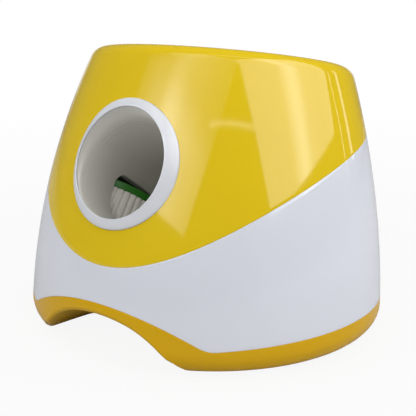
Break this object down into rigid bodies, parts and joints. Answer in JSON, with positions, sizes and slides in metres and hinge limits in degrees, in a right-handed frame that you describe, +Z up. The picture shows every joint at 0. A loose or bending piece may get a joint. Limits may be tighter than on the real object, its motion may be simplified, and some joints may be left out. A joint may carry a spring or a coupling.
{
  "type": "automatic dog ball launcher",
  "caption": "Bell-shaped ball launcher for dogs: a feed bowl on top, a gate, two powered throwing wheels and a round launch port, on a base with an arch between the feet.",
  "frame": {"origin": "middle of the footprint on the floor", "axes": "+Z up, -Y towards the launch port, +X to the right of a person facing the port"},
  "size_m": [0.2802, 0.2525, 0.2092],
  "materials": {
    "yellow_gloss": "glossy",
    "white_gloss": "glossy",
    "yellow_trim": "satin",
    "ring_white": "glossy",
    "bowl_yellow": "satin",
    "tube_grey": "satin",
    "mech_grey": "matt",
    "hub_green": "satin",
    "tyre_rubber": "matt",
    "steel": "satin",
    "motor_can": "satin",
    "black_plastic": "matt",
    "board_green": "satin",
    "brass": "satin",
    "button_grey": "satin",
    "lens_green": "glossy",
    "cell_wrap": "satin",
    "pad_rubber": "matt",
    "lead_red": "satin",
    "lead_black": "satin",
    "gear_white": "matt"
  },
  "bodies": {
    "casing": {"upper_cover": "yellow_gloss", "lower_shell": "white_gloss", "base_tray": "yellow_trim", "port_ring": "ring_white", "hopper_bowl": "bowl_yellow", "rear_panel": "button_grey", "launch_tube": "tube_grey", "breech_cap": "mech_grey", "cap_screws": "steel", "left_motor_bracket": "mech_grey", "left_launch_motor": "motor_can", "right_motor_bracket": "mech_grey", "right_launch_motor": "motor_can", "motor_screws": "steel", "feed_chute": "mech_grey", "gate_motor": "motor_can", "gate_motor_screws": "steel", "ball_sensors": "black_plastic", "tube_cradle": "mech_grey", "control_board": "board_green", "board_screws": "steel", "tact_switches": "black_plastic", "indicator_lenses": "lens_green", "power_inlet": "black_plastic", "battery_cells": "cell_wrap", "cell_contacts": "brass", "battery_hatch": "yellow_trim", "foot_pads": "pad_rubber", "casing_screws": "steel", "red_motor_leads": "lead_red", "black_motor_leads": "lead_black"},
    "left_wheel": {"left_wheel_tyre": "tyre_rubber", "left_wheel_hub": "hub_green", "left_wheel_shaft": "steel"},
    "right_wheel": {"right_wheel_tyre": "tyre_rubber", "right_wheel_hub": "hub_green", "right_wheel_shaft": "steel"},
    "gate": {"gate_finger": "hub_green", "gate_gear": "gear_white", "gate_shaft": "steel", "gate_clip": "steel"},
    "gate_drive": {"gate_pinion": "gear_white"},
    "power_key": {"power_button": "hub_green"},
    "range_key": {"range_button": "yellow_trim"}
  },
  "joints": [
    {"name": "left_wheel_spin", "type": "hinge", "parent": "casing", "child": "left_wheel", "pos_m": [-0.063, -0.04219, 0.07876], "axis": [0, 0.5736, 0.8192], "continuous": true},
    {"name": "right_wheel_spin", "type": "hinge", "parent": "casing", "child": "right_wheel", "pos_m": [0.063, -0.04219, 0.07876], "axis": [0, 0.5736, 0.8192], "continuous": true},
    {"name": "gate_swing", "type": "hinge", "parent": "casing", "child": "gate", "pos_m": [0.05, 0, 0.1497], "axis": [0, 0, 1], "range_deg": [-90, 0]},
    {"name": "gate_pinion_spin", "type": "hinge", "parent": "casing", "child": "gate_drive", "pos_m": [0.05, 0.0225, 0.1456], "axis": [0, 0, 1], "range_deg": [0, 180]},
    {"name": "power_press", "type": "slide", "parent": "casing", "child": "power_key", "axis": [0, -1, 0], "range_m": [0, 0.0012], "stiffness_N_per_m": 400},
    {"name": "range_press", "type": "slide", "parent": "casing", "child": "range_key", "axis": [0, -1, 0], "range_m": [0, 0.0012], "stiffness_N_per_m": 400}
  ],
  "couplings": [
    {"joint": "gate_pinion_spin", "follows": "gate_swing", "ratio": -2}
  ]
}
